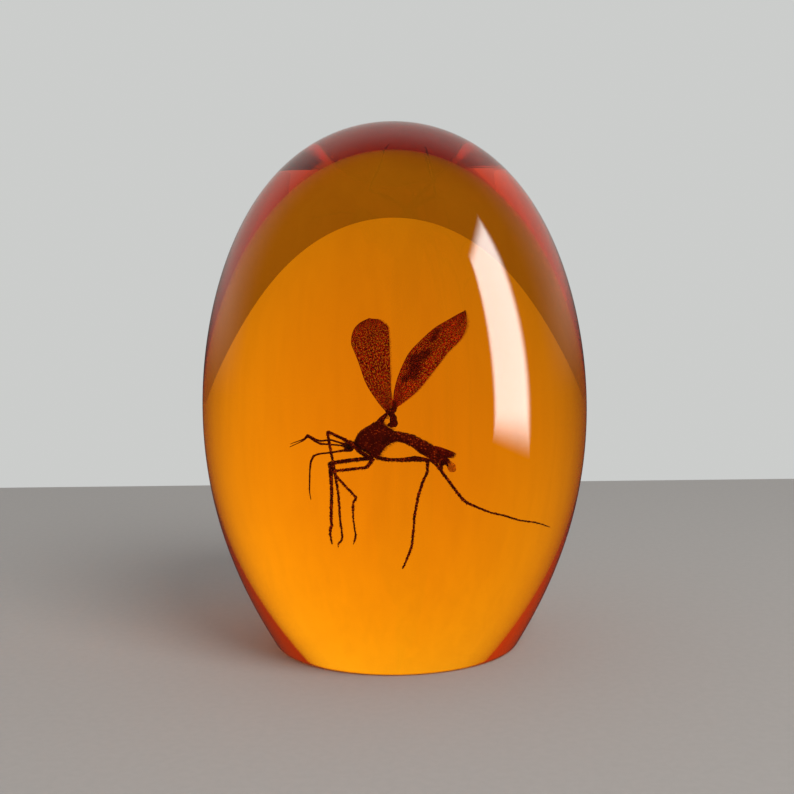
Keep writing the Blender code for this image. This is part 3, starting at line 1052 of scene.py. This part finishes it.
def compound_eye():
    """A nearly black eye with fine facets."""
    material, tree, shader, coordinates = new_material("compound eye", 0.4, 0.3)
    facets = added(tree, "ShaderNodeTexVoronoi", feature="DISTANCE_TO_EDGE", Scale=16000.0)
    shades = ramp(tree, (0.0, (0.012, 0.004, 0.003)), (0.2, (0.05, 0.012, 0.008)))
    wired(
        tree,
        (coordinates, "Object", facets, "Vector"),
        (facets, "Distance", shades, "Fac"),
        (shades, "Color", shader, "Base Color"),
    )
    relief_from(tree, facets, "Distance", shader, 0.7, 0.02 * MM)
    return material


def pale_floor(colour):
    """A plain pale surface with a very fine, even grain."""
    material, tree, shader, coordinates = new_material("pale floor", 0.85, 0.2)
    fleck = added(tree, "ShaderNodeTexNoise", Scale=900.0, Detail=3.0)
    shades = ramp(tree, (0.35, shaded(colour, 0.97)), (0.65, colour))
    wired(
        tree,
        (coordinates, "Object", fleck, "Vector"),
        (fleck, "Fac", shades, "Fac"),
        (shades, "Color", shader, "Base Color"),
    )
    relief_from(tree, fleck, "Fac", shader, 0.08, 0.1 * MM)
    return material


def softbox_glow(strength):
    """Plain near-white light that fades towards the edges of the softbox."""
    material, tree, shader, coordinates = new_material("softbox glow")
    tree.nodes.remove(shader)
    split = added(tree, "ShaderNodeSeparateXYZ")
    from_side = arithmetic(tree, "PINGPONG", 0.5)
    from_end = arithmetic(tree, "PINGPONG", 0.5)
    nearest = arithmetic(tree, "MINIMUM")
    fade = rescaled(tree, 0.0, SOFTBOX_FADE, 0.0, strength, soft=True)
    glow = added(tree, "ShaderNodeEmission", Color=colour_of(SOFTBOX_COLOUR))
    wired(
        tree,
        (coordinates, "UV", split, 0),
        (split, "X", from_side, 0),
        (split, "Y", from_end, 0),
        (from_side, 0, nearest, 0),
        (from_end, 0, nearest, 1),
        (nearest, 0, fade, "Value"),
        (fade, "Result", glow, "Strength"),
        (glow, 0, tree.nodes["Material Output"], "Surface"),
    )
    return material


def egg_profile(settings):
    """The half outline from the top to the middle of the foot, with the foot's edge rounded."""
    height = settings.height
    centre = height * EGG_CENTRE_SHARE
    first, second, third = EGG_SWELL

    def swollen(angle):
        rise = math.sin(angle)
        return math.cos(angle) * (1.0 + first * rise + second * rise**2 + third * rise**3)

    widest = max(swollen(step / 500) for step in range(-250, 250))
    radius = settings.width / 2 / widest

    def place(angle):
        return radius * swollen(angle), centre + (height - centre) * math.sin(angle)

    foot_angle = math.asin(-centre / (height - centre))
    foot_radius, foot_level = place(foot_angle)
    near_radius, near_level = place(foot_angle + 0.01)
    slope = math.atan2(near_level - foot_level, near_radius - foot_radius)
    inset = settings.foot_rounding / math.tan((math.pi - slope) / 2)
    arc_top = settings.foot_rounding * (1.0 - math.cos(slope))
    profile = [(0.0, 0.0, height)]
    for row in range(1, EGG_ROWS):
        side, level = place(math.pi / 2 + (foot_angle - math.pi / 2) * row / EGG_ROWS)
        if level > arc_top:
            profile.append((side, 0.0, level))
    for row in range(FOOT_ROWS + 1):
        angle = slope * (1.0 - row / FOOT_ROWS) - math.pi / 2
        side = foot_radius - inset + settings.foot_rounding * math.cos(angle)
        profile.append((side, 0.0, settings.foot_rounding * (1.0 + math.sin(angle))))
    for share in (0.9, 0.6, 0.3):
        profile.append((profile[-1][0] * share, 0.0, 0.0))
    profile.append((0.0, 0.0, 0.0))
    return profile


class SPECIMEN_OT_resin_egg(bpy.types.Operator):
    """Turn the clear egg from its profile and fill it with amber resin"""

    bl_idname = "specimen.resin_egg"
    bl_label = "Resin egg"

    def execute(self, context):
        settings = context.scene.resin_egg
        egg = vertex_chain(egg_profile(settings))
        bpy.ops.mesh.spin(
            steps=settings.facets,
            angle=2.0 * math.pi,
            center=(0.0, 0.0, 0.0),
            axis=(0.0, 0.0, 1.0),
        )
        facing_out(egg)
        resin = amber_casting_resin(settings)
        settled(egg, "resin_egg", resin, "resin", "resin_front", "resin_back", smooth_angle=40.0)
        return {"FINISHED"}


class SPECIMEN_OT_body(bpy.types.Operator):
    """Grow the thorax with its hips and wing stalks, and the ringed abdomen"""

    bl_idname = "specimen.mosquito_body"
    bl_label = "Thorax and abdomen"

    def execute(self, context):
        settings = context.scene.mosquito
        skin = scaly("scaly cuticle", settings.cuticle, settings.scales, 7000.0, 0.2, 0.75, 0.7)
        masses = [trunk(THORAX, 28)]
        masses += [strand(points, 3, 12, 0.1) for points in HIPS + WING_STALKS + BALANCERS]
        thorax = grown_together(masses, "thorax", 0.06, 3)
        roughened(thorax, 0.28, 0.09)
        insect_piece(thorax, "mosquito_thorax", skin)
        parts = [trunk(ABDOMEN, 28)] + [rounded_mass(*mass) for mass in TAIL_MASSES]
        abdomen = grown_together(parts, "abdomen", 0.06, 3)
        start = Vector((ABDOMEN[0][0], 0.0, (ABDOMEN[0][1] + ABDOMEN[0][2]) / 2)) * MM
        end = Vector((ABDOMEN[-1][0], 0.0, (ABDOMEN[-1][1] + ABDOMEN[-1][2]) / 2)) * MM
        axis = end - start
        for vertex in abdomen.data.vertices:
            share = (vertex.co - start).dot(axis) / axis.length_squared
            middle = start + axis * share
            phase = (share * ABDOMEN_RINGS) % 1.0
            pinch = 1.0 + 0.05 * phase - 0.07 * math.exp(-((phase / 0.12) ** 2))
            vertex.co.y = middle.y + (vertex.co.y - middle.y) * pinch
            vertex.co.z = middle.z + (vertex.co.z - middle.z) * pinch
        roughened(abdomen, 0.2, 0.09)
        dotted = scaly("dotted abdomen", settings.cuticle, settings.scales, 4800.0, 0.36, 0.75, 0.8)
        insect_piece(abdomen, "mosquito_abdomen", dotted)
        return {"FINISHED"}


class SPECIMEN_OT_head(bpy.types.Operator):
    """Shape the head with its two eyes, the bent proboscis and the feelers"""

    bl_idname = "specimen.mosquito_head"
    bl_label = "Head, proboscis and feelers"

    def execute(self, context):
        settings = context.scene.mosquito
        skin = scaly("scaly head", settings.cuticle, settings.scales, 8000.0, 0.16, 0.7, 0.6)
        neck = strand(NECK, 3, 12, 0.0)
        snout = strand(SNOUT, 3, 12, 0.0)
        skull = grown_together([rounded_mass(*HEAD), neck, snout], "head", 0.04, 2)
        roughened(skull, 0.18, 0.05)
        insect_piece(skull, "mosquito_head", skin)
        eyes = []
        for side in (-1.0, 1.0):
            (x, y, z), half_sizes = EYE
            eyes.append(rounded_mass((x, y * side, z), half_sizes))
        pair = joined(eyes, "eyes")
        roughened(pair, 0.1, 0.02)
        insect_piece(pair, "mosquito_eyes", compound_eye())
        limbs = [strand(points, 8, 10, 0.22) for points in (PROBOSCIS, *FEELERS)]
        thin = joined(limbs, "mouthparts")
        shaft = scaly("scaly mouthparts", settings.cuticle, settings.scales, 9000.0, 0.22, 0.7, 0.5)
        insect_piece(thin, "mosquito_mouthparts", shaft)
        return {"FINISHED"}


class SPECIMEN_OT_legs(bpy.types.Operator):
    """Draw the six thin, jointed legs"""

    bl_idname = "specimen.mosquito_legs"
    bl_label = "Legs"

    def execute(self, context):
        settings = context.scene.mosquito
        skin = scaly("scaly legs", settings.cuticle, settings.scales, 4800.0, 0.42, 0.7, 0.6)
        legs = grown_together([strand(points, 11, 12, 0.2) for points in LEGS], "legs", 0.045, 1)
        roughened(legs, 0.15, 0.2, 0.38)
        insect_piece(legs, "mosquito_legs", skin)
        return {"FINISHED"}


class SPECIMEN_OT_wings(bpy.types.Operator):
    """Lay out the two scaly wings with their lobe and veins"""

    bl_idname = "specimen.mosquito_wings"
    bl_label = "Wings and veins"

    def execute(self, context):
        settings = context.scene.mosquito
        sheet = wing_membrane(settings)
        wings = (
            ("mosquito_wing_broad", BROAD_WING, BROAD_WING_PATCHES),
            ("mosquito_wing_narrow", NARROW_WING, NARROW_WING_PATCHES),
        )
        for name, shape, patches in wings:
            insect_piece(wing_sheet(name, shape, patches, settings.wing_thickness), name, sheet)
        ribs = []
        for name, shape, patches in wings:
            ribs += vein_net(shape, settings.vein_radius)
        veins = joined(ribs, "veins")
        rib_colour = shaded(settings.wing, 0.45)
        rib_skin = scaly("wing veins", rib_colour, settings.wing, 7000.0, 0.3, 0.7, 0.4)
        insect_piece(veins, "mosquito_wing_veins", rib_skin)
        lobe = grown_together([rounded_mass(*mass) for mass in WING_LOBE], "lobe", 0.035, 2)
        roughened(lobe, 0.16, 0.16)
        paler = shaded(settings.wing, 0.7)
        crumpled = scaly("crumpled wing lobe", settings.cuticle, paler, 6000.0, 0.4, 0.7, 0.6)
        insect_piece(lobe, "mosquito_wing_lobe", crumpled)
        return {"FINISHED"}


def surface_hairs(item, every, length, lean, salt):
    """Bristles on every few points of a surface, leaning backwards."""
    places = []
    for vertex in item.data.vertices:
        if scattered(vertex.index, salt) > 1.0 / every:
            continue
        size = length * (0.55 + 0.9 * scattered(vertex.index, salt + 1))
        root = vertex.co - vertex.normal * ROOT_DEPTH
        out = (vertex.normal + lean).normalized() * size
        places.append((root, out, BRISTLE_THICKNESS, lean * size * 0.25))
    return places


class SPECIMEN_OT_hairs(bpy.types.Operator):
    """Set the bristles of the body, the fringe of the wings and the tufts of the tail"""

    bl_idname = "specimen.mosquito_hairs"
    bl_label = "Bristles and tufts"

    def execute(self, context):
        settings = context.scene.mosquito
        backwards = Vector((0.9, 0.0, -0.25))
        downwards = Vector((0.0, 0.0, -0.8))
        forwards = Vector((-0.8, 0.0, 0.0))
        coats = (
            ("mosquito_thorax", 16, 1.0, backwards),
            ("mosquito_abdomen", 13, 0.5, backwards),
            ("mosquito_head", 22, 0.6, -backwards),
            ("mosquito_legs", 14, 0.45, downwards),
            ("mosquito_mouthparts", 18, 0.5, forwards),
        )
        places = []
        for salt, (name, every, share, lean) in enumerate(coats, start=1):
            places += surface_hairs(bpy.data.objects[name], every, settings.hair_length * share, lean, salt)
        bristles = hair_coat("bristles", places)
        dark = scaly("dark bristles", settings.cuticle, settings.scales, 5000.0, 0.25, 0.7, 0.2)
        insect_piece(bristles, "mosquito_bristles", dark)
        edging = hair_coat("fringe", wing_fringe(BROAD_WING, 6) + wing_fringe(NARROW_WING, 7))
        edge = shaded(settings.wing, 0.8)
        brown = scaly("brown scale hairs", edge, settings.scales, 4000.0, 0.3, 0.7, 0.2)
        insect_piece(edging, "mosquito_wing_fringe", brown)
        tufts = []
        for number, (start, end, spread, count) in enumerate(TAIL_TUFTS):
            axis = Vector(end) - Vector(start)
            for hair in range(count):
                turn = scattered(hair, 20 + number) * 2.0 * math.pi
                reach = math.sqrt(scattered(hair, 30 + number)) * spread
                back = scattered(hair, 40 + number) * 0.45
                side = Vector((0.0, math.cos(turn), math.sin(turn))) * reach
                root = (Vector(start) + axis * back + side) * MM
                length = (1.0 - back) * (0.45 + 0.55 * scattered(hair, 50 + number))
                way = (axis * length - side * 0.35 + Vector((0.0, side.y * 0.5, 0.0))) * MM
                tufts.append((root, way, TAIL_HAIR_THICKNESS, Vector((0.0, 0.0, -TAIL_HAIR_SAG))))
        tail = hair_coat("tufts", tufts)
        dusky = shaded(settings.wing, 0.4)
        tail_brown = scaly("brown tail hairs", dusky, settings.scales, 4000.0, 0.25, 0.7, 0.2)
        insect_piece(tail, "mosquito_tail_tufts", tail_brown)
        lobe = grown_together([rounded_mass(*mass) for mass in TAIL_LOBE], "lobe", 0.03, 3)
        roughened(lobe, 0.3, 0.08)
        insect_piece(lobe, "mosquito_tail_lobe", pale_lobe())
        return {"FINISHED"}


def soft_backdrop(settings):
    """A plain backdrop: brightest behind the egg, and a little brighter on one side and higher up."""
    world = bpy.data.worlds.new("soft backdrop")
    bpy.context.scene.world = world
    world.use_nodes = True
    tree = world.node_tree
    background = tree.nodes["Background"]
    coordinates = added(tree, "ShaderNodeTexCoord")
    split = added(tree, "ShaderNodeSeparateXYZ")
    paths = added(tree, "ShaderNodeLightPath")
    behind = rescaled(tree, *BACKDROP_BEHIND, settings.backdrop_side, 1.0, soft=True)
    across = rescaled(tree, *BACKDROP_ACROSS, soft=True)
    upwards = rescaled(tree, *BACKDROP_UPWARDS, soft=True)
    plan = arithmetic(tree, "MULTIPLY")
    seen_through = arithmetic(tree, "MULTIPLY")
    back = rescaled(tree, *MIRRORED_BEHIND, soft=True)
    above = rescaled(tree, *MIRRORED_UPWARDS, soft=True)
    sheen = arithmetic(tree, "MULTIPLY")
    mirrored = colour_mix(tree, MIRRORED_DIM, MIRRORED_BRIGHT)
    reflected = colour_mix(tree, BACKDROP_LIGHT)
    through = colour_mix(tree)
    direct = colour_mix(tree, second=settings.backdrop_colour)
    wired(
        tree,
        (coordinates, "Generated", split, 0),
        (split, "Y", behind, "Value"),
        (split, "X", across, "Value"),
        (split, "Z", upwards, "Value"),
        (behind, "Result", plan, 0),
        (across, "Result", plan, 1),
        (plan, 0, seen_through, 0),
        (upwards, "Result", seen_through, 1),
        (split, "Y", back, "Value"),
        (split, "Z", above, "Value"),
        (back, "Result", sheen, 0),
        (above, "Result", sheen, 1),
        (sheen, 0, mirrored, 0),
        (paths, "Is Glossy Ray", reflected, 0),
        (mirrored, 2, reflected, 7),
        (paths, "Is Transmission Ray", through, 0),
        (reflected, 2, through, 6),
        (seen_through, 0, through, 7),
        (paths, "Is Camera Ray", direct, 0),
        (through, 2, direct, 6),
        (direct, 2, background, "Color"),
    )


def floor_slab(settings):
    """A plain rectangular slab with softly rounded edges."""
    nothing_selected()
    depth = settings.floor_front + settings.floor_back
    middle = (settings.floor_back - settings.floor_front) / 2
    level = -FLOOR_THICKNESS / 2 - FLOOR_GAP
    bpy.ops.mesh.primitive_cube_add(size=1.0, location=(0.0, middle, level))
    slab = bpy.context.active_object
    slab.name = "pale_floor"
    slab.scale = (settings.floor_width, depth, FLOOR_THICKNESS)
    bpy.ops.object.transform_apply()
    bpy.ops.object.mode_set(mode="EDIT")
    bpy.ops.mesh.select_all(action="SELECT")
    bpy.ops.mesh.bevel(offset=FLOOR_THICKNESS / 5, segments=4, affect="EDGES")
    bpy.ops.object.mode_set(mode="OBJECT")
    slab.data.materials.append(pale_floor(settings.floor_colour))
    slab.visible_glossy = False


def softbox(settings):
    """An upright softbox at the right, seen only as a reflection in the polished resin."""
    nothing_selected()
    bpy.ops.mesh.primitive_plane_add(size=1.0)
    panel = bpy.context.active_object
    panel.name = "softbox"
    for vertex, corner in zip(panel.data.vertices, SOFTBOX_CORNERS):
        vertex.co = corner
    panel.data.materials.append(softbox_glow(settings.softbox_strength))
    panel.visible_camera = False
    panel.visible_diffuse = False
    panel.visible_transmission = False
    panel.visible_volume_scatter = False
    panel.visible_shadow = False


class SPECIMEN_OT_stage(bpy.types.Operator):
    """Set up the pale floor, the soft light and the camera"""

    bl_idname = "specimen.stage"
    bl_label = "Floor, light and camera"

    def execute(self, context):
        settings = context.scene.specimen_stage
        context.scene.view_settings.view_transform = "Standard"
        floor_slab(settings)
        soft_backdrop(settings)
        softbox(settings)
        nothing_selected()
        bpy.ops.object.light_add(type="AREA", location=LAMP_PLACE)
        lamp = bpy.context.active_object
        lamp.name = "soft_key"
        lamp.data.shape = "DISK"
        lamp.data.size = LAMP_SIZE
        lamp.data.energy = LAMP_POWER
        lamp.data.color = LAMP_COLOUR
        aim = Vector(LAMP_TARGET) - lamp.location
        lamp.rotation_euler = aim.to_track_quat("-Z", "Y").to_euler()
        lamp.visible_camera = False
        lamp.visible_glossy = False
        lamp.visible_transmission = False
        look = Matrix.Rotation(math.pi / 2 - settings.camera_height_angle, 3, "X")
        roll = Matrix.Rotation(CAMERA_ROLL, 3, "Z")
        place = Vector(CAMERA_TARGET) + look @ Vector((0.0, 0.0, settings.camera_distance))
        bpy.ops.object.camera_add(location=place, rotation=(look @ roll).to_euler())
        camera = bpy.context.active_object
        camera.name = "camera"
        camera.data.angle = settings.camera_field
        camera.data.clip_start = 0.005
        context.scene.camera = camera
        return {"FINISHED"}


class VIEW3D_PT_specimen(bpy.types.Panel):
    """Sizes, colours and steps of the resin egg with its mosquito"""

    bl_label = "Mosquito in a resin egg"
    bl_idname = "VIEW3D_PT_specimen"
    bl_space_type = "VIEW_3D"
    bl_region_type = "UI"
    bl_category = "Resin egg"

    def draw(self, context):
        layout = self.layout
        for group in (context.scene.resin_egg, context.scene.mosquito, context.scene.specimen_stage):
            box = layout.box()
            for key in group.bl_rna.properties.keys():
                if key not in ("name", "rna_type"):
                    box.prop(group, key)
        for step in STEPS:
            layout.operator(step.bl_idname)


SETTINGS = (ResinEggSettings, MosquitoSettings, StageSettings)
STEPS = (
    SPECIMEN_OT_resin_egg,
    SPECIMEN_OT_body,
    SPECIMEN_OT_head,
    SPECIMEN_OT_legs,
    SPECIMEN_OT_wings,
    SPECIMEN_OT_hairs,
    SPECIMEN_OT_stage,
)
CLASSES = SETTINGS + STEPS + (VIEW3D_PT_specimen,)


def register():
    for item in CLASSES:
        bpy.utils.register_class(item)
    bpy.types.Scene.resin_egg = bpy.props.PointerProperty(type=ResinEggSettings)
    bpy.types.Scene.mosquito = bpy.props.PointerProperty(type=MosquitoSettings)
    bpy.types.Scene.specimen_stage = bpy.props.PointerProperty(type=StageSettings)


def unregister():
    del bpy.types.Scene.specimen_stage
    del bpy.types.Scene.mosquito
    del bpy.types.Scene.resin_egg
    for item in reversed(CLASSES):
        bpy.utils.unregister_class(item)


def main():
    register()
    bpy.ops.specimen.resin_egg()
    bpy.ops.specimen.mosquito_body()
    bpy.ops.specimen.mosquito_head()
    bpy.ops.specimen.mosquito_legs()
    bpy.ops.specimen.mosquito_wings()
    bpy.ops.specimen.mosquito_hairs()
    bpy.ops.specimen.stage()


if __name__ == "__main__":
    main()
